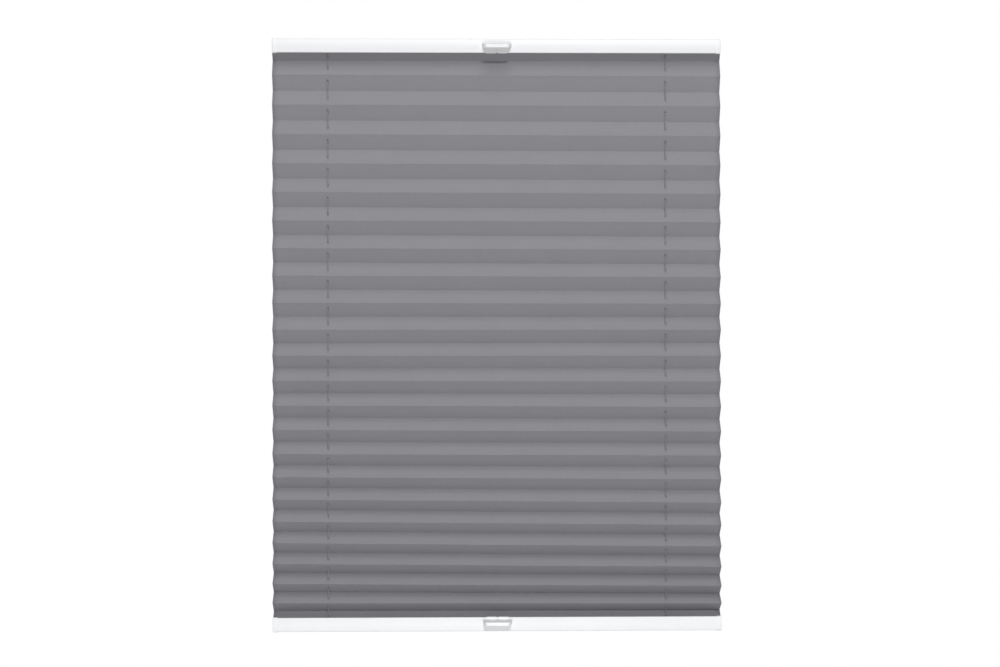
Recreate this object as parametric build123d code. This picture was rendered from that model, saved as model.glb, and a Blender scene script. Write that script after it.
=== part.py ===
from build123d import *
from math import hypot, sqrt
import os

# A pleated blind on two taut cords: two rails, each with a handle, and one pleated
# fabric between them. Millimetres, +Z up, front towards -Y, origin at the middle of
# the upper rail's top face. Depths inside a rail are counted from its outer face,
# which is its top on the upper rail and its underside on the lower rail.

# ---- whole blind ----
blind_width = 500.0
blind_height = 660.0

# ---- rail section ----
rail_height = 15.5
rail_depth = 19.0
front_bow = 0.9
rail_corner = 1.0
wall = 1.2
chamber_height = 5.8
web = 1.0
rib_height = 0.8
rib_reach = 1.2

# ---- end caps ----
cap_thickness = 5.0
cap_overhang = 0.5
cap_edge = 0.9
plug_length = 10.0
plug_play = 0.1

# ---- strip that carries the fabric in the rail ----
strip_thickness = 1.2
strip_play = 0.2
strip_shortfall = 2.0

# ---- fabric ----
facet = 18.8
upper_end_facet_share = 0.86
lower_end_facet_share = 0.98
pleat_opening = 0.7632
fabric_overhang = 1.0
fabric_thickness = 0.3
glue_gap = 0.3
end_fold_clearance = 1.1
stretch_slope = 0.33
stretch_fall = 0.119
stretch_power = 7
hole_length = 3.4
hole_slack = 0.4
fold_search_steps = 60

# ---- cords and what guides them ----
cord_diameter = 1.0
cord_inset = 61.0
cord_bend = 2.0
cord_gap = 0.4
crossing_share = 0.8
crossing_bend = 1500.0
cord_play = 0.1
guide_play = 0.1
guide_outboard = 5.0
guide_inboard = 9.0
passage = 3.0

# ---- eyelets where the cords leave the rails ----
eyelet_bore = 1.8
eyelet_barrel = 3.2
eyelet_flange = 5.0
eyelet_flange_thickness = 0.3
eyelet_sink = 0.1
eyelet_play = 0.05

# ---- handles ----
grip_reach = 11.5
grip_root_width = 33.5
grip_front_width = 27.5
grip_front_corner = 3.5
grip_drop = 3.4
grip_lip = 3.9
grip_root_height = 4.5
grip_edge = 0.5
grip_taper = 8.0
grip_plate = 1.0
clip_width = 24.0
clip_foot = 0.4
clip_chamfer = 0.7
clip_leg_thickness = 1.0
clip_leg = 3.6
clip_play = 0.1
clip_notch = 2.0
top_grip_below_outer_face = 4.7
bottom_grip_below_edge = 1.2

# ---- places that follow from the sizes above ----
rail_length = blind_width - 2 * cap_thickness
inner_width = rail_depth - 2 * wall
rib_opening = inner_width - 2 * rib_reach
chamber_floor = wall + chamber_height
slot_start = chamber_floor + web
slot_end = slot_start + strip_thickness + 2 * strip_play
rib_end = slot_end + rib_height
strip_start = slot_start + strip_play
strip_face = strip_start + strip_thickness
fabric_width = blind_width + fabric_overhang
pleats = round(blind_height / (2 * facet * pleat_opening))
upper_end_facet = upper_end_facet_share * facet
lower_end_facet = lower_end_facet_share * facet
end_fold = rib_opening / 2 - end_fold_clearance
hole_width = cord_diameter + hole_slack
cord_x = blind_width / 2 - cord_inset
middle_z = -blind_height / 2
chamber_middle = wall + chamber_height / 2
cord_spacing = cord_diameter + cord_gap
crossing_offset = crossing_share * cord_diameter
outer_run = chamber_middle - cord_spacing / 2
inner_run = chamber_middle + cord_spacing / 2
channel_half = cord_diameter / 2 + cord_play


def box_between(x, y, z):
    """A box between pairs of limits."""
    size = Box(x[1] - x[0], y[1] - y[0], z[1] - z[0])
    return Pos(sum(x) / 2, sum(y) / 2, sum(z) / 2) * size


def opening(width, start, end):
    """A rectangle of the rail's section, centred in its depth, between two depths."""
    return Pos(0, -(start + end) / 2) * Rectangle(width, end - start)


def rail_outline(grow=0.0):
    """The rail's outer section: flat back and a front that bows towards the room."""
    half = rail_depth / 2
    bowed = ThreePointArc((-half, -rail_height), (-half - front_bow, -rail_height / 2), (-half, 0))
    back = Polyline((-half, 0), (half, 0), (half, -rail_height), (-half, -rail_height))
    outline = make_face(bowed + back)
    outline = fillet(outline.vertices(), rail_corner)
    return offset(outline, grow) if grow else outline


def along_x(section, length):
    """A section of the YZ plane drawn out to a length centred on X = 0."""
    return extrude(Plane.YZ * section, length / 2, both=True)


def across(x, diameter, start, end):
    """A round hole or shaft that crosses the rail's section between two depths."""
    return Pos(x, 0, -(start + end) / 2) * Cylinder(diameter / 2, end - start)


def rail():
    """Extruded rail: a closed chamber for the cords and a channel for the fabric."""
    section = rail_outline()
    section -= opening(inner_width, wall, chamber_floor)
    section -= opening(inner_width, slot_start, slot_end)
    section -= opening(rib_opening, slot_end, rib_end)
    section -= opening(inner_width, rib_end, rail_height)
    body = along_x(section, rail_length)
    for x in (-cord_x, cord_x):
        body -= across(x, eyelet_barrel + 2 * eyelet_play, 0, wall)
        sink = eyelet_sink + eyelet_flange_thickness
        body -= across(x, eyelet_flange + 2 * eyelet_play, 0, sink)
        body -= across(x, passage, chamber_floor, slot_start)
    return body


def end_cap():
    """Right-hand cap: a rounded plate with a notch for the fabric and a plug."""
    start = rail_length / 2
    plate = extrude(Plane.YZ.offset(start) * rail_outline(cap_overhang), cap_thickness)
    plate = fillet(plate.faces().sort_by(Axis.X)[-1].edges(), cap_edge)
    beyond = rail_height + 2 * cap_overhang
    over = (start - cap_overhang, start + cap_thickness + cap_overhang)
    notch = (-rib_opening / 2, rib_opening / 2)
    plate -= box_between(over, notch, (-beyond, -strip_face))
    half = inner_width / 2 - plug_play
    depths = (-chamber_floor + plug_play, -wall - plug_play)
    return plate + box_between((start - plug_length, start), (-half, half), depths)


def fabric_strip():
    """Flat strip that slides into the rail and holds the end of the fabric."""
    half = inner_width / 2 - strip_play
    length = rail_length - strip_shortfall
    depths = (-strip_face, -strip_start)
    strip = box_between((-length / 2, length / 2), (-half, half), depths)
    for x in (-cord_x, cord_x):
        strip -= across(x, passage, strip_start, strip_face)
    return strip


def cord_guide():
    """Left-hand block in the chamber, with round noses that turn both cords."""
    half = inner_width / 2 - guide_play
    depths = (-chamber_floor + guide_play, -wall - guide_play)
    ends = (-cord_x - guide_outboard, -cord_x + guide_inboard)
    block = box_between(ends, (-half, half), depths)
    run_top = -outer_run + channel_half
    run_bottom = -inner_run - channel_half
    upright = Pos(-cord_x, -chamber_middle) * Rectangle(2 * channel_half, rail_height)
    level = Pos(-cord_x + guide_inboard, -chamber_middle)
    level *= Rectangle(2 * guide_inboard, run_top - run_bottom)
    way = upright + level
    inner_side = -cord_x + channel_half
    noses = way.vertices().sort_by_distance((inner_side, -chamber_middle))[:2]
    way = fillet(noses, cord_bend - channel_half)
    cut = extrude(Plane.XZ.offset(-half) * way, half + channel_half)
    return block - cut


def eyelet():
    """Left-hand flanged bushing, sunk just below the rail's outer face."""
    flange_end = eyelet_sink + eyelet_flange_thickness
    ring = across(-cord_x, eyelet_flange, eyelet_sink, flange_end)
    ring += across(-cord_x, eyelet_barrel, eyelet_sink, wall)
    return ring - across(-cord_x, eyelet_bore, 0, wall)


def cord():
    """The cord from the upper left: across the upper rail, down the right-hand side,
    back across the lower rail and out below where it came in."""
    low = -blind_height
    points = [
        (-cord_x, 0, 0),
        (-cord_x, 0, -outer_run),
        (0, crossing_offset, -chamber_middle),
        (cord_x, 0, -inner_run),
        (cord_x, 0, low + inner_run),
        (0, crossing_offset, low + chamber_middle),
        (-cord_x, 0, low + outer_run),
        (-cord_x, 0, low),
    ]
    radii = [cord_bend, crossing_bend, cord_bend, cord_bend, crossing_bend, cord_bend]
    route = FilletPolyline(*points, radius=radii)
    return sweep(Plane(origin=route @ 0, z_dir=route % 0) * Circle(cord_diameter / 2), path=route)


def facet_heights(longest):
    """Heights of the facets between the end folds: each pleat is stretched by the
    weight of those below it, so they shorten downwards."""
    count = 2 * pleats - 2
    shares = [(i + 0.5) / count for i in range(count)]
    return [longest * (1 - stretch_slope * t - stretch_fall * t**stretch_power) for t in shares]


def fold_line(longest):
    """Folds of the fabric as (y, drop) from the upper end fold to the lower one."""
    heights = facet_heights(longest)
    depths = [sqrt(facet**2 - h**2) for h in heights]
    y = depths[0] / 2
    drop = sqrt(upper_end_facet**2 - (y + end_fold) ** 2)
    folds = [(-end_fold, 0.0), (y, drop)]
    side = -1
    for height, depth in zip(heights, depths):
        y += side * depth
        drop += height
        folds.append((y, drop))
        side = -side
    drop += sqrt(lower_end_facet**2 - (y + end_fold) ** 2)
    return folds + [(-end_fold, drop)]


def folds_over(drop):
    """The fold line whose ends lie a given drop apart."""
    low, high = 0.0, facet
    for _ in range(fold_search_steps):
        longest = (low + high) / 2
        if fold_line(longest)[-1][1] < drop:
            low = longest
        else:
            high = longest
    return fold_line(low)


def beside(points, distance):
    """The points of a bent line moved sideways, mitred at its bends."""
    normals = []
    for (y0, z0), (y1, z1) in zip(points, points[1:]):
        length = hypot(y1 - y0, z1 - z0)
        normals.append(((z0 - z1) / length, (y1 - y0) / length))
    moved = []
    for point, before, after in zip(points, normals[:1] + normals, normals + normals[-1:]):
        sum_y, sum_z = before[0] + after[0], before[1] + after[1]
        scale = 2 * distance / (sum_y**2 + sum_z**2)
        moved.append((point[0] + sum_y * scale, point[1] + sum_z * scale))
    return moved


def pleated_fabric():
    """One folded sheet with a flap at each end and a slot in every facet per cord."""
    seat = strip_face + glue_gap + fabric_thickness / 2
    folds = [(y, -seat - drop) for y, drop in folds_over(blind_height - 2 * seat)]
    line = [(end_fold, folds[0][1])] + folds + [(end_fold, folds[-1][1])]
    near_face = beside(line, fabric_thickness / 2)
    far_face = beside(line, -fabric_thickness / 2)
    section = make_face(Polyline(*near_face, *reversed(far_face), close=True))
    sheet = along_x(section, fabric_width)
    slots = []
    for (y0, z0), (y1, z1) in zip(line, line[1:]):
        z = z0 + (z1 - z0) * y0 / (y0 - y1)
        slope = Vector(0, y1 - y0, z1 - z0).normalized()
        for x in (-cord_x, cord_x):
            on_facet = Plane(origin=(x, 0, z), x_dir=slope, z_dir=Vector(1, 0, 0).cross(slope))
            slot = on_facet * SlotOverall(hole_length, hole_width)
            slots.append(extrude(slot, 2 * fabric_thickness, both=True))
    return sheet - slots


def handle(root_z, edge_z, inward):
    """Finger grip with a clip over the free edge of the rail's front wall. root_z is
    the top of the grip, edge_z the wall's edge, and inward is 1 where the rail lies
    above that edge and -1 where it lies below."""
    wall_front = -rail_depth / 2
    wall_back = wall_front + wall
    plate_front = wall_front - front_bow - grip_plate
    tip = wall_front - front_bow - grip_reach
    root_end = root_z - grip_root_height
    lip_top = root_z - grip_drop
    half_root, half_front, half_clip = grip_root_width / 2, grip_front_width / 2, clip_width / 2

    shelf = make_face(Polyline(
        (wall_back, root_z), (tip, lip_top), (tip, lip_top - grip_lip), (wall_back, root_end),
        close=True,
    ))
    plan = make_face(Polyline(
        (-half_root, wall_back), (half_root, wall_back), (half_front, tip), (-half_front, tip),
        close=True,
    ))
    plan = fillet(plan.vertices().sort_by(Axis.Y)[:2], grip_front_corner)
    grip = along_x(shelf, grip_root_width)
    grip &= extrude(Plane.XY.offset(root_z) * plan, -grip_drop - grip_lip)
    rims = [e for e in grip.edges() if e.bounding_box().max.Y < tip + grip_front_corner]
    grip = fillet([e for e in rims if e.bounding_box().size.X > grip_edge], grip_edge)

    taper_end = root_z - grip_taper
    plate = make_face(Polyline(
        (-half_root, root_z), (half_root, root_z), (half_front, taper_end), (-half_front, taper_end),
        close=True,
    ))
    grip += extrude(Plane.XZ.offset(-wall_back) * plate, wall_back - plate_front)

    foot_face = edge_z - inward * clip_play
    foot_end = foot_face - inward * clip_foot
    leg_end = edge_z + inward * clip_leg
    leg_back = wall_back + clip_play + clip_leg_thickness
    clip_x = (-half_clip, half_clip)
    covered = along_x(rail_outline(clip_play), 2 * grip_root_width)
    if inward < 0:
        covered = lowered(covered)
    cover = box_between(clip_x, (plate_front, wall_back), sorted((foot_end, root_end)))
    front_edge = cover.edges().sort_by_distance((0, plate_front, foot_end))[0]
    grip += chamfer(front_edge, clip_chamfer)
    grip -= covered
    grip += box_between(clip_x, (wall_front, leg_back), sorted((foot_face, foot_end)))
    leg_y = (wall_back + clip_play, leg_back)
    grip += box_between(clip_x, leg_y, sorted((foot_end, leg_end)))
    notch_x = (-clip_notch / 2, clip_notch / 2)
    return grip - box_between(notch_x, (plate_front, leg_back), sorted((foot_end, leg_end)))


def lowered(piece):
    """The same piece on the lower rail, which is the upper one turned over."""
    return mirror(piece, about=Plane.XY.offset(middle_z))


def other_side(piece):
    """The same piece at the other end of its rail."""
    return mirror(piece, about=Plane.YZ)


pieces = {"top_rail": rail(), "top_fabric_strip": fabric_strip()}
pieces["top_left_cord_guide"] = cord_guide()
pieces["top_left_eyelet"] = eyelet()
pieces["top_left_end_cap"] = other_side(end_cap())
for kind in ("cord_guide", "eyelet", "end_cap"):
    pieces[f"top_right_{kind}"] = other_side(pieces[f"top_left_{kind}"])
for name in list(pieces):
    pieces[name.replace("top", "bottom", 1)] = lowered(pieces[name])

pieces["top_handle"] = handle(-top_grip_below_outer_face, -rail_height, 1)
low_edge = rail_height - blind_height
pieces["bottom_handle"] = handle(low_edge - bottom_grip_below_edge, low_edge, -1)
pieces["pleated_fabric"] = pleated_fabric()
pieces["cord_from_upper_left"] = cord()
pieces["cord_from_upper_right"] = pieces["cord_from_upper_left"].rotate(Axis.Z, 180)

os.makedirs("parts", exist_ok=True)
for name, piece in pieces.items():
    export_step(piece, f"parts/{name}.step")
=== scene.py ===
import bpy
import math
import numpy as np
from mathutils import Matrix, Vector


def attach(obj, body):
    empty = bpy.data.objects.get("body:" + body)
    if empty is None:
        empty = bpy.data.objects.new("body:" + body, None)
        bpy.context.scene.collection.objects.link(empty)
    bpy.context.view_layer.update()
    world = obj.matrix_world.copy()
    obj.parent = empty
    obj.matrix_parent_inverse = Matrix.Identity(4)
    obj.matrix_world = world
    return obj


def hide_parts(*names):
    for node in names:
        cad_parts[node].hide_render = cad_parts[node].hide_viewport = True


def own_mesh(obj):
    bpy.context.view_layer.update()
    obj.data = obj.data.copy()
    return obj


# A pleated blind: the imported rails, caps, handles, strips, guides and eyelets with their
# materials, and the fabric and the cords made here. Metres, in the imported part's frame.

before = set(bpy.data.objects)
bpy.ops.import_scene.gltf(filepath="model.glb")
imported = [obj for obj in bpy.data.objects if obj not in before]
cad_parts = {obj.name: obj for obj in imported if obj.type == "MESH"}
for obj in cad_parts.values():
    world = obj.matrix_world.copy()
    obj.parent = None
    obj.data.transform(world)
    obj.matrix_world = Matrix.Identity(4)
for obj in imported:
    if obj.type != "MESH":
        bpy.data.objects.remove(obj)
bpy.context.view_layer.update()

MM = 0.001

# ---- sizes of the fabric and the cords: the part's own, but for the narrower holes ----
BLIND_HEIGHT = 660 * MM
FABRIC_WIDTH = 501 * MM
FABRIC_THICKNESS = 0.3 * MM
FABRIC_SEAT = 9.85 * MM
FACET = 18.8 * MM
UPPER_END_FACET = 0.86 * FACET
LOWER_END_FACET = 0.98 * FACET
END_FOLD = 6.0 * MM
PLEATS = 23
STRETCH_SLOPE = 0.33
STRETCH_FALL = 0.119
STRETCH_POWER = 7
HOLE_LENGTH = 3.4 * MM
HOLE_WIDTH = 1.12 * MM
CORD_X = 189 * MM
CORD_DIAMETER = 1.0 * MM

# ---- how the fabric really hangs ----
CREASE = 0.35 * MM           # length of facet that each crease takes up
CREASE_TURN = 0.105          # how much further a facet is turned where it meets a crease
CREASE_REACH = 2.0 * MM      # length over which that turn dies out
WAVE = 0.14 * MM             # how far a fold wanders up and down
SEAM_FOLD = 21               # a fold near the middle, which stays where it is
SEAM_REACH = 5               # folds over which the slant dies out towards the seam
# the folds hang lower at the right: (share of the drop, slant over the whole width).
# The cloth is level from the last valley on, where its pieces meet at every pose.
SLANT = (
    (0.00, 0.0), (0.04, 0.9 * MM), (0.20, 2.0 * MM), (0.40, 2.2 * MM), (0.62, 2.3 * MM), (0.73, 3.0 * MM),
    (0.79, 5.0 * MM), (0.88, 5.2 * MM), (0.95, 3.6 * MM), (0.98, 0.0), (1.00, 0.0),
)


# ---------------------------------------------------------------- camera and light

def look(location, target):
    """The rotation that aims an object's -Z from a place to another."""
    return (Vector(target) - Vector(location)).to_track_quat("-Z", "Y").to_euler()


CAMERA_PLACE = (-0.041, -2.111, -0.403)
CAMERA_LENS = 67.9
CAMERA_SHIFT = 0.067
CAMERA_YAW = math.radians(1.2)
CAMERA_ROLL = math.radians(0.09)
SENSOR_WIDTH = 36.0          # millimetres, as the lens
NEAREST, FARTHEST = 0.01, 60.0

camera_data = bpy.data.cameras.new("camera")
camera_data.lens = CAMERA_LENS
camera_data.sensor_width = SENSOR_WIDTH
camera_data.shift_y = CAMERA_SHIFT
camera_data.clip_start = NEAREST
camera_data.clip_end = FARTHEST
camera = bpy.data.objects.new("camera", camera_data)
camera.location = CAMERA_PLACE
camera.rotation_euler = (math.pi / 2, CAMERA_ROLL, -CAMERA_YAW)
bpy.context.scene.collection.objects.link(camera)
bpy.context.scene.camera = camera


def area_light(name, place, target, size, power):
    """A soft light, so wide and so high, aimed at a point."""
    data = bpy.data.lights.new(name, "AREA")
    data.shape = "RECTANGLE"
    data.size, data.size_y = size
    data.energy = power
    light = bpy.data.objects.new(name, data)
    light.location = place
    light.rotation_euler = look(place, target)
    light.visible_camera = False
    bpy.context.scene.collection.objects.link(light)


MIDDLE = (0.0, 0.0, -0.33)
LOWER_END = (0.0, 0.0, -0.60)
# each light: its place, what it is aimed at, its width and height, and its power in watts
LIGHTS = {
    "key": ((0.40, -4.60, 2.45), MIDDLE, (0.5, 0.5), 126.0),
    "high": ((0.0, -1.8, 2.55), MIDDLE, (2.0, 2.0), 44.0),
    "low": ((0.0, -2.4, -1.25), MIDDLE, (1.6, 0.25), 16.5),
    "foot": ((0.0, -1.1, -0.80), LOWER_END, (0.5, 0.2), 1.8),
}
for light_name, (place, target, size, power) in LIGHTS.items():
    area_light(light_name, place, target, size, power)

# the studio: white walls behind the blind, greyer ones in front, greyest above and below
WORLD_BEHIND = 1.0
WORLD_FRONT = 0.3
WORLD_CAPS = 0.25
FRONT_TO_BEHIND = (-0.3, 0.3)    # a direction's Y, from the front walls to those behind
WALL_TO_CAP = (0.35, 0.65)       # how steeply a direction goes up or down

world = bpy.data.worlds.new("studio")
bpy.context.scene.world = world
world.use_nodes = True
nodes, links = world.node_tree.nodes, world.node_tree.links
background = nodes["Background"]
direction = nodes.new("ShaderNodeTexCoord")
split = nodes.new("ShaderNodeSeparateXYZ")
links.new(direction.outputs["Generated"], split.inputs["Vector"])


def world_ramp(output, low, high, first, last):
    """A grey that goes from one value to another while an output goes from low to high."""
    remap = nodes.new("ShaderNodeMapRange")
    remap.interpolation_type = "SMOOTHSTEP"
    for socket, value in zip(("From Min", "From Max", "To Min", "To Max"), (low, high, first, last)):
        remap.inputs[socket].default_value = value
    links.new(output, remap.inputs["Value"])
    return remap.outputs["Result"]


height = nodes.new("ShaderNodeMath")
height.operation = "ABSOLUTE"
links.new(split.outputs["Z"], height.inputs[0])
walls = world_ramp(split.outputs["Y"], *FRONT_TO_BEHIND, WORLD_FRONT, WORLD_BEHIND)
caps = world_ramp(height.outputs[0], *WALL_TO_CAP, 1.0, WORLD_CAPS)
product = nodes.new("ShaderNodeMath")
product.operation = "MULTIPLY"
links.new(walls, product.inputs[0])
links.new(caps, product.inputs[1])
links.new(product.outputs[0], background.inputs["Color"])
background.inputs["Strength"].default_value = 1.0

bpy.context.scene.view_settings.view_transform = "Standard"
bpy.context.scene.view_settings.look = "None"


# ---------------------------------------------------------------- materials

CLOUD_STOPS = (0.3, 0.7)     # where a cloudy noise goes from one tone to the other


class Material:
    """A Principled material that is built up node by node."""

    def __init__(self, name, roughness, **values):
        self.data = bpy.data.materials.new(name)
        self.data.use_nodes = True
        self.nodes = self.data.node_tree.nodes
        self.links = self.data.node_tree.links
        self.shader = self.nodes["Principled BSDF"]
        self.shader.inputs["Roughness"].default_value = roughness
        for socket, value in values.items():
            self.shader.inputs[socket.replace("_", " ")].default_value = value
        self.heights = []

    def add(self, kind, **settings):
        """A new node with its settings."""
        node = self.nodes.new(kind)
        for name, value in settings.items():
            setattr(node, name, value)
        return node

    def link(self, a, b):
        self.links.new(a, b)

    def coordinates(self, source, scale=(1, 1, 1), turn=(0, 0, 0)):
        """Texture coordinates, stretched by a scale and turned."""
        origin = self.add("ShaderNodeTexCoord")
        mapping = self.add("ShaderNodeMapping")
        mapping.inputs["Scale"].default_value = scale
        mapping.inputs["Rotation"].default_value = turn
        self.link(origin.outputs[source], mapping.inputs["Vector"])
        return mapping.outputs["Vector"]

    def noise(self, vector, scale, detail=2.0, roughness=0.5):
        """A noise from 0 to 1."""
        node = self.add("ShaderNodeTexNoise")
        node.inputs["Scale"].default_value = scale
        node.inputs["Detail"].default_value = detail
        node.inputs["Roughness"].default_value = roughness
        self.link(vector, node.inputs["Vector"])
        return node.outputs["Fac"]

    def wave(self, vector, scale, direction):
        """Soft even bands from 0 to 1."""
        node = self.add("ShaderNodeTexWave", bands_direction=direction)
        node.inputs["Scale"].default_value = scale
        self.link(vector, node.inputs["Vector"])
        return node.outputs["Fac"]

    def math(self, operation, a, b):
        """Arithmetic on two outputs or numbers."""
        node = self.add("ShaderNodeMath", operation=operation)
        for socket, value in zip(node.inputs, (a, b)):
            if isinstance(value, (int, float)):
                socket.default_value = value
            else:
                self.link(value, socket)
        return node.outputs[0]

    def ramp(self, factor, stops):
        """A colour ramp from (position, colour) pairs."""
        node = self.add("ShaderNodeValToRGB")
        elements = node.color_ramp.elements
        while len(elements) < len(stops):
            elements.new(0.5)
        for element, (position, colour) in zip(elements, stops):
            element.position = position
            element.color = (*colour, 1)
        self.link(factor, node.inputs["Fac"])
        return node.outputs["Color"]

    def two_tones(self, factor, first, last, stops=CLOUD_STOPS):
        """A texture's 0 to 1 as a change from one colour to another."""
        return self.ramp(factor, tuple(zip(stops, (first, last))))

    def spread(self, factor, low, high):
        """A texture's 0 to 1 brought to a range."""
        node = self.add("ShaderNodeMapRange")
        node.inputs["To Min"].default_value = low
        node.inputs["To Max"].default_value = high
        self.link(factor, node.inputs["Value"])
        return node.outputs["Result"]

    def mix(self, factor, a, b, how="MIX"):
        """Two colours brought together."""
        node = self.add("ShaderNodeMix", data_type="RGBA", blend_type=how)
        for socket, value in ((node.inputs["Factor"], factor), (node.inputs[6], a), (node.inputs[7], b)):
            if isinstance(value, (int, float)):
                socket.default_value = value
            elif isinstance(value, tuple):
                socket.default_value = (*value, 1)
            else:
                self.link(value, socket)
        return node.outputs[2]

    def colour(self, output):
        self.link(output, self.shader.inputs["Base Color"])

    def rough(self, output):
        self.link(output, self.shader.inputs["Roughness"])

    def bump(self, height, strength, distance):
        """Adds a bump on top of the ones before it."""
        node = self.add("ShaderNodeBump")
        node.inputs["Strength"].default_value = strength
        node.inputs["Distance"].default_value = distance
        self.link(height, node.inputs["Height"])
        if self.heights:
            self.link(self.heights[-1], node.inputs["Normal"])
        self.heights.append(node.outputs["Normal"])
        self.link(node.outputs["Normal"], self.shader.inputs["Normal"])


def shade(colour, factor):
    """A colour made lighter or darker."""
    return tuple(c * factor for c in colour)


PLASTIC_CLOUDS = 14.0
SHEEN_SPREAD = (-0.06, 0.08)
GRAIN_DEPTH = 0.05 * MM


def plastic(name, colour, roughness, grain, grain_scale, spread=0.03, **values):
    """Moulded plastic or powder coat: a fine grain, a slightly uneven sheen and tone."""
    made = Material(name, roughness, **values)
    place = made.coordinates("Object")
    cloudy = made.noise(place, PLASTIC_CLOUDS, detail=3.0)
    fine = made.noise(place, grain_scale, roughness=0.6)
    made.colour(made.two_tones(cloudy, shade(colour, 1 - spread), colour))
    made.rough(made.spread(fine, roughness + SHEEN_SPREAD[0], roughness + SHEEN_SPREAD[1]))
    made.bump(fine, grain, GRAIN_DEPTH)
    return made.data


RAIL_WHITE = (0.705, 0.710, 0.719)
CAP_WHITE = (0.720, 0.724, 0.730)
HANDLE_WHITE = (0.715, 0.718, 0.723)
STRIP_WHITE = (0.78, 0.785, 0.78)
GUIDE_GREY = (0.62, 0.62, 0.60)
EYELET_GREY = (0.70, 0.70, 0.69)
# name, tone, roughness, grain, scale of the grain, unevenness of the tone
rail_coat = plastic("rail_coat", RAIL_WHITE, 0.42, 0.25, 900.0, 0.02, Specular_IOR_Level=0.45)
cap_plastic = plastic("cap_plastic", CAP_WHITE, 0.46, 0.3, 1400.0, 0.03)
handle_plastic = plastic("handle_plastic", HANDLE_WHITE, 0.3, 0.12, 700.0, 0.02)
strip_plastic = plastic("strip_plastic", STRIP_WHITE, 0.5, 0.3, 1100.0, 0.04)
guide_plastic = plastic("guide_plastic", GUIDE_GREY, 0.4, 0.2, 1200.0, 0.05)
eyelet_plastic = plastic("eyelet_plastic", EYELET_GREY, 0.28, 0.15, 1500.0, 0.04)

THREAD = 0.36 * MM
WAVE_PERIOD = math.pi / 10   # of a Wave Texture's straight bands at scale 1

FABRIC = (0.243, 0.239, 0.257)
FULL = (1.0, 1.0, 1.0)
YARN_SHADE = (0.9, 0.9, 0.9)
# the tone of the painted shade in the gaps between the threads
GAP_PAINTED_SHADE = (0.86, 0.86, 0.86)
# the tone of the painted shade round each hole
HOLE_PAINTED_SHADE = (0.35, 0.34, 0.34)
YARN_ACROSS = (55, 2400, 1)
YARN_DOWN = (2600, 70, 1)
WARP_SHARE = 0.8
FABRIC_CLOUDS = 22.0
FABRIC_DARKER, FABRIC_LIGHTER = 0.985, 1.01
YARN_STOPS = (0.35, 0.65)
GAP_STOPS = (0.0, 0.6)
# where on the rim mask the painted shade round the holes sets in and is full
HOLE_PAINTED_SHADE_STOPS = (0.78, 0.88)


def woven_fabric():
    """Plain polyester weave: crossing threads with painted shade in the gaps between them, thicker yarns
    here and there, a soft sheen, and painted shade round the holes.
    """
    made = Material(
        "pleated_weave", 0.88, Sheen_Weight=0.12, Sheen_Roughness=0.5, Specular_IOR_Level=0.2,
    )
    made.shader.inputs["Sheen Tint"].default_value = (0.8, 0.8, 0.85, 1)
    flat = made.coordinates("UV")
    warp = made.wave(flat, WAVE_PERIOD / THREAD, "X")
    weft = made.wave(flat, WAVE_PERIOD / THREAD, "Y")
    weave = made.math("MAXIMUM", made.math("MULTIPLY", warp, WARP_SHARE), weft)
    slub = made.noise(made.coordinates("UV", YARN_ACROSS), 1.0, roughness=0.6)
    slub_up = made.noise(made.coordinates("UV", YARN_DOWN), 1.0, roughness=0.6)
    yarns = made.math("MULTIPLY", made.math("ADD", slub, slub_up), 0.5)
    cloudy = made.noise(flat, FABRIC_CLOUDS, detail=3.0)
    base = made.two_tones(cloudy, shade(FABRIC, FABRIC_DARKER), shade(FABRIC, FABRIC_LIGHTER))
    yarn = made.two_tones(yarns, YARN_SHADE, FULL, YARN_STOPS)
    # painted shade where the threads leave gaps
    painted_gap_shade = made.two_tones(weave, GAP_PAINTED_SHADE, FULL, GAP_STOPS)
    cloth = made.mix(1.0, made.mix(1.0, base, yarn, "MULTIPLY"), painted_gap_shade, "MULTIPLY")
    # painted shade round each hole's rim, where the holes look dark
    rim = made.add("ShaderNodeAttribute", attribute_name="hole_shade_mask")
    painted_hole_shade = made.two_tones(rim.outputs["Fac"], FULL, HOLE_PAINTED_SHADE, HOLE_PAINTED_SHADE_STOPS)
    made.colour(made.mix(1.0, cloth, painted_hole_shade, "MULTIPLY"))
    made.rough(made.spread(yarns, low=0.82, high=0.94))
    made.bump(weave, strength=0.3, distance=0.06 * MM)
    made.bump(yarns, strength=0.35, distance=0.05 * MM)
    return made.data


# the cord's painted shade in the braid's dips, and its tone on the crests
CORD_DIP_PAINTED_SHADE, CORD_CREST = (0.11, 0.11, 0.115), (0.22, 0.22, 0.23)
FIBRE_DARK, FIBRE_LIGHT = (0.12, 0.12, 0.12), (0.25, 0.25, 0.26)
CORD_STOPS = (0.0, 0.7)
BRAID_SCALE = 2 * WAVE_PERIOD    # one slanting band to each 1 of the texture coordinates
FIBRE_SCALE = 9.0
FIBRE_SHARE = 0.25


def braided_cord():
    """Fine braid: two sets of slanting strands, with painted shade in the dips between them."""
    made = Material("cord_braid", 0.7, Sheen_Weight=0.1, Specular_IOR_Level=0.3)
    along = made.coordinates("UV")
    one = made.wave(along, BRAID_SCALE, "DIAGONAL")
    back = made.coordinates("UV", (-1, 1, 1))
    other = made.wave(back, BRAID_SCALE, "DIAGONAL")
    braid = made.math("MAXIMUM", one, other)
    fibre = made.noise(along, FIBRE_SCALE)
    # painted shade in the braid's dips, the cord's own tone on its crests
    tone = made.two_tones(braid, CORD_DIP_PAINTED_SHADE, CORD_CREST, CORD_STOPS)
    speckle = made.two_tones(fibre, FIBRE_DARK, FIBRE_LIGHT)
    made.colour(made.mix(FIBRE_SHARE, tone, speckle))
    made.rough(made.spread(fibre, low=0.62, high=0.8))
    made.bump(braid, strength=0.5, distance=0.08 * MM)
    return made.data


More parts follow.
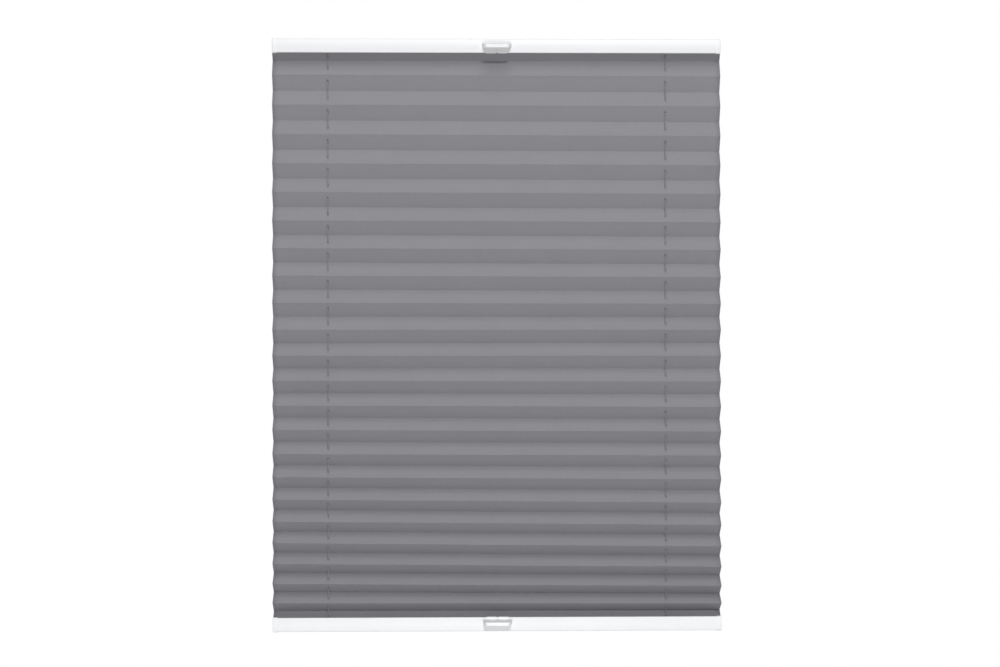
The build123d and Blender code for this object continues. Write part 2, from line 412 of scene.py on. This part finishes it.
NODE_MATERIALS = {
    "fabric_strip": strip_plastic,
    "cord_guide": guide_plastic,
    "eyelet": eyelet_plastic,
    "end_cap": cap_plastic,
    "handle": handle_plastic,
    "rail": rail_coat,
}
for node_name, cad_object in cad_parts.items():
    kind = next((k for k in NODE_MATERIALS if node_name.endswith(k)), None)
    if kind:
        cad_object.data.materials.clear()
        cad_object.data.materials.append(NODE_MATERIALS[kind])

fabric_material = woven_fabric()
cord_material = braided_cord()


# ---------------------------------------------------------------- the folds

def fold_line(longest):
    """Folds of the fabric as (y, drop) from the upper end fold to the lower one."""
    count = 2 * PLEATS - 2
    shares = [(i + 0.5) / count for i in range(count)]
    heights = [longest * (1 - STRETCH_SLOPE * t - STRETCH_FALL * t**STRETCH_POWER) for t in shares]
    depths = [math.sqrt(FACET**2 - h**2) for h in heights]
    y = depths[0] / 2
    drop = math.sqrt(UPPER_END_FACET**2 - (y + END_FOLD) ** 2)
    folds = [(-END_FOLD, 0.0), (y, drop)]
    side = -1
    for height, depth in zip(heights, depths):
        y += side * depth
        drop += height
        folds.append((y, drop))
        side = -side
    drop += math.sqrt(LOWER_END_FACET**2 - (y + END_FOLD) ** 2)
    return folds + [(-END_FOLD, drop)]


def folds_over(drop, steps=60):
    """The fold line whose ends lie a given drop apart."""
    low, high = 0.0, FACET
    for _ in range(steps):
        longest = (low + high) / 2
        if fold_line(longest)[-1][1] < drop:
            low = longest
        else:
            high = longest
    return fold_line(low)


FOLDS = np.array(folds_over(BLIND_HEIGHT - 2 * FABRIC_SEAT))
FOLD_Y = FOLDS[:, 0]
FOLD_Z = -FABRIC_SEAT - FOLDS[:, 1]
LAST = len(FOLDS) - 1
LAST_VALLEY = LAST - 1       # below it the cloth rides on the lower rail
DROP = FOLDS[-1, 1]

CORD_COLUMNS = np.array((-1.0, -0.5, 0.0, 0.5, 1.0)) * HOLE_WIDTH / 2
COLUMN_STEP = 7.5 * MM
HOLE_MARGIN = 2.5 * MM


def fabric_columns():
    """Places across the width: even, with fine ones at the cords' holes."""
    half = FABRIC_WIDTH / 2
    near, far = CORD_X - HOLE_MARGIN, CORD_X + HOLE_MARGIN
    marks = [-half, -far, -near, near, far, half]
    columns = []
    for i, (a, b) in enumerate(zip(marks, marks[1:])):
        round_a_cord = i % 2 == 1
        if round_a_cord:
            centre = (a + b) / 2
            columns += [a] + list(centre + CORD_COLUMNS)
        else:
            count = max(1, round((b - a) / COLUMN_STEP))
            columns += list(np.linspace(a, b, count, endpoint=False))
    return np.array(columns + [half])


COLUMNS = fabric_columns()

# each fold wanders a little: a few long waves across the width, different for each fold
WAVE_SEED = 23
chance = np.random.default_rng(WAVE_SEED)
SMALLEST_WAVE = 0.4
WAVE_LENGTHS = (0.62, 0.33, 0.17)
WAVE_SHARES = (0.6, 0.3, 0.16)
END_REACH = 2                # folds over which the waves die out towards each end
wave_phases = chance.uniform(0, 2 * math.pi, (LAST + 1, len(WAVE_LENGTHS)))
wave_sizes = chance.uniform(SMALLEST_WAVE, 1.0, (LAST + 1, len(WAVE_LENGTHS)))


def hung_folds():
    """Every fold's y and z at every column, slanted and wavering as the cloth hangs."""
    slant_at, slant = zip(*SLANT)
    z = np.zeros((LAST + 1, len(COLUMNS)))
    for i in range(LAST + 1):
        share = FOLDS[i, 1] / DROP
        ends = min(1.0, i / END_REACH, max(0, LAST_VALLEY - i) / END_REACH)
        near = min(1.0, abs(i - SEAM_FOLD) / SEAM_REACH)
        tilt = np.interp(share, slant_at, slant) * near
        wave = sum(
            size * part * np.sin(2 * math.pi * COLUMNS / length + phase)
            for size, part, length, phase in zip(wave_sizes[i], WAVE_SHARES, WAVE_LENGTHS, wave_phases[i])
        )
        z[i] = FOLD_Z[i] - tilt * COLUMNS / FABRIC_WIDTH + WAVE * wave * ends * near
    height = z[:-1] - z[1:]
    full = np.full(LAST, FACET)
    full[0], full[-1] = UPPER_END_FACET, LOWER_END_FACET
    reach = np.sqrt(np.maximum(full[:, None] ** 2 - height**2, 0))
    plain = np.abs(np.diff(FOLD_Y))[:, None]
    side = np.sign(FOLD_Y)[1:-1, None]
    y = np.repeat(FOLD_Y[:, None], len(COLUMNS), axis=1)
    change = reach - plain
    # two folds share each facet's change, and two facets act on each fold
    y[1:-1] += side * (change[:-1] + change[1:]) / 4
    return y, z


HUNG_Y, HUNG_Z = hung_folds()
INNER_SHARES = (0.25, 0.5, 0.75)
EDGE_ROWS = (CREASE, 1.1 * MM, 2.2 * MM, 4.0 * MM)
FIRST_HOLE_ROW = len(EDGE_ROWS)
HOLE_ROWS = np.array((-1.0, -0.5, 0.0, 0.5, 1.0)) * HOLE_LENGTH / 2
HOLE_REACH = len(HOLE_ROWS) // 2
TINY = 1e-9


def facet_rows(length, crossing):
    """Distances along a facet: close together at its creases and where the cords cross it."""
    return list(EDGE_ROWS) + list(crossing + HOLE_ROWS) + [length - row for row in reversed(EDGE_ROWS)]


FACET_STARTS = [0.0] + [UPPER_END_FACET + FACET * i for i in range(LAST - 1)]
FACET_STARTS.append(FACET_STARTS[-1] + LOWER_END_FACET)


def crease_bend(s, length):
    """How far a facet, pressed flat at its creases, stands off its straight line."""
    whole = 1 - math.exp(-length / CREASE_REACH)
    ends = math.exp((s - length) / CREASE_REACH) - math.exp(-s / CREASE_REACH)
    return CREASE_TURN * CREASE_REACH * (ends + whole * (1 - 2 * s / length))


def facet_points(y0, z0, y1, z1, start, length, bent):
    """Rows of points down one facet, from one fold to the next, short of both creases."""
    crossing = length * y0.mean() / (y0.mean() - y1.mean())
    way = math.copysign(1, y1.mean() - y0.mean())
    rows = []
    for k, s in enumerate(facet_rows(length, crossing)):
        t = s / length
        off = bent * crease_bend(s, length) / length
        y = y0 + (y1 - y0) * t + way * (z0 - z1) * off
        z = z0 + (z1 - z0) * t + abs(y1 - y0) * off
        hole = k - FIRST_HOLE_ROW
        rows.append((y, z, start + s, hole if 0 <= hole < len(HOLE_ROWS) else None))
    return rows


def crease_points(before, y, z, after, start):
    """Rows of points round a fold, between the facets on each side of it."""
    rows = []
    for u in INNER_SHARES:
        parts = (1 - u) ** 2, 2 * u * (1 - u), u * u
        row_y = parts[0] * before[0] + parts[1] * y + parts[2] * after[0]
        row_z = parts[0] * before[1] + parts[1] * z + parts[2] * after[1]
        rows.append((row_y, row_z, start + (2 * u - 1) * CREASE, None))
    return rows


def cloth_rows():
    """Rows of points of the whole cloth, from the upper flap to the lower one: each is
    its y and z at every column, its distance along the flat cloth, and which row of a
    cord's hole it is. Also the row in the middle of each fold."""
    flap = 2 * END_FOLD
    top = (HUNG_Y[0] + flap, HUNG_Z[0], HUNG_Y[0], HUNG_Z[0], -flap, flap, 0)
    bottom = (HUNG_Y[LAST], HUNG_Z[LAST], HUNG_Y[LAST] + flap, HUNG_Z[LAST], FACET_STARTS[LAST], flap, 0)
    spans = [top]
    for i in range(LAST):
        length = FACET_STARTS[i + 1] - FACET_STARTS[i]
        spans.append((HUNG_Y[i], HUNG_Z[i], HUNG_Y[i + 1], HUNG_Z[i + 1], FACET_STARTS[i], length, 1))
    spans.append(bottom)
    rows, fold_rows = [], []
    for k, span in enumerate(spans):
        points = facet_points(*span)
        if k > 0:
            fold_rows.append(len(rows) + len(INNER_SHARES) // 2)
            rows += crease_points(rows[-1], span[0], span[1], points[0], span[4])
        rows += points
    return rows, fold_rows


def rounded_hole(dx, ds):
    """A point of the block round a hole, moved onto the hole's rounded outline."""
    radius = HOLE_WIDTH / 2
    flat_end = HOLE_LENGTH / 2 - radius
    if abs(ds) <= flat_end + TINY:
        return dx, ds
    rise = abs(ds) - flat_end
    reach = math.hypot(dx, rise)
    scale = radius / reach
    return dx * scale, math.copysign(flat_end + rise * scale, ds)


ROWS, FOLD_ROWS = cloth_rows()


def round_holes(rows, xs, ys, zs, flat_v, tangent_y, tangent_z):
    """Moves the points round each hole onto its rounded outline. Also says which faces
    the holes take away, and which points are on a rim."""
    dropped = np.zeros((len(rows) - 1, len(COLUMNS) - 1), bool)
    rim = np.zeros_like(xs)
    hole_columns = [int(np.argmin(abs(COLUMNS - x))) for x in (-CORD_X, CORD_X)]
    block = range(-HOLE_REACH, HOLE_REACH + 1)
    outline = [(i, j) for i in block for j in block if max(abs(i), abs(j)) == HOLE_REACH]
    for centre in (r for r in range(len(rows)) if rows[r][3] == HOLE_REACH):
        for column in hole_columns:
            for i, j in outline:
                r, c = centre + i, column + j
                dx, ds = CORD_COLUMNS[j + HOLE_REACH], HOLE_ROWS[i + HOLE_REACH]
                new_dx, new_ds = rounded_hole(dx, ds)
                shift = new_ds - ds
                xs[r, c] += new_dx - dx
                ys[r, c] += tangent_y[r, c] * shift
                zs[r, c] += tangent_z[r, c] * shift
                flat_v[r, c] += shift
                rim[r, c] = 1
            rows_out = slice(centre - HOLE_REACH, centre + HOLE_REACH)
            dropped[rows_out, column - HOLE_REACH:column + HOLE_REACH] = True
    return dropped, rim


def open_edges(quads):
    """The edges of a skin that only one face has."""
    owners = {}
    for q in quads:
        for e in zip(q, np.roll(q, -1)):
            key = (min(e), max(e))
            owners[key] = None if key in owners else tuple(e)
    return [e for e in owners.values() if e]


def cloth_mesh(name, points, faces, smooth, flat, rim):
    """A mesh with its flat pattern as texture coordinates and the holes' rims marked for the painted shade
    round them.
    """
    mesh = bpy.data.meshes.new(name)
    mesh.from_pydata(points.tolist(), [], faces)
    layer = mesh.uv_layers.new(name="cloth")
    corners = np.zeros(len(mesh.loops), np.int32)
    mesh.loops.foreach_get("vertex_index", corners)
    layer.data.foreach_set("uv", flat[corners].astype(np.float32).ravel())
    # the points on the holes' rims, which get the painted shade
    rims = mesh.attributes.new(name="hole_shade_mask", type="FLOAT", domain="POINT")
    rims.data.foreach_set("value", rim.astype(np.float32))
    mesh.polygons.foreach_set("use_smooth", smooth)
    mesh.update()
    mesh.validate()
    return mesh


def cloth_part(name, first, last, body):
    """The part of the folded cloth between two rows, as a closed thin mesh with holes."""
    all_y = np.array([r[0] for r in ROWS])
    all_z = np.array([r[1] for r in ROWS])
    dy, dz = np.gradient(all_y, axis=0), np.gradient(all_z, axis=0)
    size = np.hypot(dy, dz)
    part = slice(first, last + 1)
    rows = ROWS[part]
    ys, zs = all_y[part].copy(), all_z[part].copy()
    tangent_y, tangent_z = (dy / size)[part], (dz / size)[part]
    along = np.array([r[2] for r in rows])
    xs = np.repeat(COLUMNS[None, :], len(rows), axis=0)
    flat_v = np.repeat(along[:, None], len(COLUMNS), axis=1)
    dropped, rim = round_holes(rows, xs, ys, zs, flat_v, tangent_y, tangent_z)
    half = FABRIC_THICKNESS / 2
    normal_y, normal_z = tangent_z, -tangent_y
    count = len(rows) * len(COLUMNS)
    skins = []
    for side in (1, -1):
        skins.append(np.stack((xs, ys + side * half * normal_y, zs + side * half * normal_z), axis=-1))
    points = np.concatenate([skin.reshape(-1, 3) for skin in skins])
    index = np.arange(count).reshape(len(rows), len(COLUMNS))
    a, b, c, d = index[:-1, :-1], index[:-1, 1:], index[1:, 1:], index[1:, :-1]
    quads = np.stack((a, b, c, d), axis=-1)[~dropped]
    faces = [tuple(q) for q in quads] + [tuple(q[::-1] + count) for q in quads]
    skin_faces = len(faces)
    faces += [(e[1], e[0], e[0] + count, e[1] + count) for e in open_edges(quads)]
    used = np.unique(np.concatenate([np.ravel(f) for f in faces]))
    renumber = np.full(2 * count, -1)
    renumber[used] = np.arange(len(used))
    faces = [tuple(int(renumber[v]) for v in f) for f in faces]
    smooth = [i < skin_faces for i in range(len(faces))]
    flat = np.stack((xs, flat_v), axis=-1).reshape(-1, 2)
    flat = np.concatenate((flat, flat))[used]
    mesh = cloth_mesh(name, points[used], faces, smooth, flat, np.tile(rim.ravel(), 2)[used])
    cloth = bpy.data.objects.new(name, mesh)
    bpy.context.scene.collection.objects.link(cloth)
    cloth.data.materials.append(fabric_material)
    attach(cloth, body)
    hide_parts("pleated_fabric")
    return cloth


def fold_up(cloth):
    """Gives the cloth its own copy of its mesh."""
    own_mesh(cloth)


seam_row, valley_row = FOLD_ROWS[SEAM_FOLD], FOLD_ROWS[LAST_VALLEY]
upper_half = cloth_part("fabric_upper_half", 0, seam_row, "cords_and_fabric")
lower_half = cloth_part("fabric_lower_half", seam_row, valley_row, "cords_and_fabric")
cloth_part("fabric_lower_end", valley_row, len(ROWS) - 1, "bottom_rail")
fold_up(upper_half)
fold_up(lower_half)


# ---------------------------------------------------------------- the cords

CORD_SIDES = 10
CORD_RING = 0.45 * MM
BRAID_PITCH = 2.2 * MM
BRAID_RELIEF = 0.04 * MM
BRAID_REPEATS = 4            # texture units round the cord, and to each pitch


def strand(name, x, node):
    """A taut braided strand down the whole blind, through the holes of the fabric."""
    length = BLIND_HEIGHT
    rings = round(length / CORD_RING)
    z = -np.linspace(0, length, rings + 1)
    turn = np.linspace(0, 2 * math.pi, CORD_SIDES, endpoint=False)
    phase = 2 * math.pi * z[:, None] / BRAID_PITCH
    relief = np.cos(2 * turn[None, :] + phase) * np.cos(2 * turn[None, :] - phase)
    radius = CORD_DIAMETER / 2 - BRAID_RELIEF / 2 + BRAID_RELIEF / 2 * relief
    heights = np.repeat(z[:, None], CORD_SIDES, axis=1)
    points = np.stack((x + radius * np.cos(turn), radius * np.sin(turn), heights), axis=-1)
    faces = []
    for r in range(rings):
        for s in range(CORD_SIDES):
            t = (s + 1) % CORD_SIDES
            a, b = r * CORD_SIDES + s, r * CORD_SIDES + t
            faces.append((a, a + CORD_SIDES, b + CORD_SIDES, b))
    faces.append(tuple(range(CORD_SIDES)))
    faces.append(tuple(reversed(range(rings * CORD_SIDES, (rings + 1) * CORD_SIDES))))
    mesh = bpy.data.meshes.new(name)
    mesh.from_pydata(points.reshape(-1, 3).tolist(), [], faces)
    layer = mesh.uv_layers.new(name="braid")
    flat = []
    for polygon in mesh.polygons:
        sides = [v % CORD_SIDES for v in polygon.vertices]
        for vertex, side in zip(polygon.vertices, sides):
            # the faces that close the ring end at a full turn, not back at its start
            around = CORD_SIDES if side == 0 and CORD_SIDES - 1 in sides else side
            ring = vertex // CORD_SIDES
            flat += [around * BRAID_REPEATS / CORD_SIDES, ring * CORD_RING / BRAID_PITCH * BRAID_REPEATS]
    layer.data.foreach_set("uv", flat)
    mesh.polygons.foreach_set("use_smooth", [True] * len(mesh.polygons))
    piece = bpy.data.objects.new(name, mesh)
    bpy.context.scene.collection.objects.link(piece)
    piece.data.materials.append(cord_material)
    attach(piece, "cords_and_fabric")
    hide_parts(node)


strand("cord_left_strand", -CORD_X, "cord_from_upper_left")
strand("cord_right_strand", CORD_X, "cord_from_upper_right")

# a cord's way through the upper rail's chamber, in millimetres, from under an eyelet to
# just above the far hole in the chamber's floor
CROSSING_ROUTE = (
    (-189.0, 0.0, -1.4), (-189.0, 0.0, -3.4), (-183.0, 0.03, -3.42), (-95.0, 0.4, -3.75), (0.0, 0.8, -4.1),
    (95.0, 0.4, -4.45), (183.0, 0.03, -4.78), (189.0, 0.0, -4.8), (189.0, 0.0, -6.6),
)


def cord_in_rail(name, body, turned=False, lowered=False):
    """A cord's run inside a rail. The other cord's is turned half round, and the lower
    rail's are mirrored top to bottom."""
    data = bpy.data.curves.new(name, "CURVE")
    data.dimensions = "3D"
    data.bevel_depth = CORD_DIAMETER / 2
    data.bevel_resolution = 2
    spline = data.splines.new("NURBS")
    spline.points.add(len(CROSSING_ROUTE) - 1)
    way = -1 if turned else 1
    for point, (x, y, z) in zip(spline.points, CROSSING_ROUTE):
        z = -BLIND_HEIGHT / MM - z if lowered else z
        point.co = (way * x * MM, way * y * MM, z * MM, 1)
    spline.order_u = 3
    spline.use_endpoint_u = True
    piece = bpy.data.objects.new(name, data)
    bpy.context.scene.collection.objects.link(piece)
    data.materials.append(cord_material)
    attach(piece, body)


cord_in_rail("cord_crossing_top_a", "top_rail")
cord_in_rail("cord_crossing_top_b", "top_rail", turned=True)
cord_in_rail("cord_crossing_bottom_a", "bottom_rail", lowered=True)
cord_in_rail("cord_crossing_bottom_b", "bottom_rail", turned=True, lowered=True)


# ---------------------------------------------------------------- the studio floor

FLOOR_Z = -1.9
FLOOR_RADIUS = 4.4
FLOOR_SIDES = 96
FLOOR_TONES = ((0.80, 0.80, 0.80), (0.82, 0.82, 0.82))
FLOOR_ROUGHNESS = 0.9
FLOOR_CLOUDS = 3.0

floor_mesh = bpy.data.meshes.new("studio_floor")
floor_rim = [
    (FLOOR_RADIUS * math.cos(a), FLOOR_RADIUS * math.sin(a), FLOOR_Z)
    for a in np.linspace(0, 2 * math.pi, FLOOR_SIDES, endpoint=False)
]
floor_mesh.from_pydata(floor_rim, [], [tuple(range(FLOOR_SIDES))])
floor = bpy.data.objects.new("studio_floor", floor_mesh)
bpy.context.scene.collection.objects.link(floor)
floor_paint = Material("floor_paint", FLOOR_ROUGHNESS)
floor_place = floor_paint.coordinates("Object")
floor_clouds = floor_paint.noise(floor_place, FLOOR_CLOUDS)
floor_paint.colour(floor_paint.two_tones(floor_clouds, *FLOOR_TONES))
floor_mesh.materials.append(floor_paint.data)

bpy.context.view_layer.update()
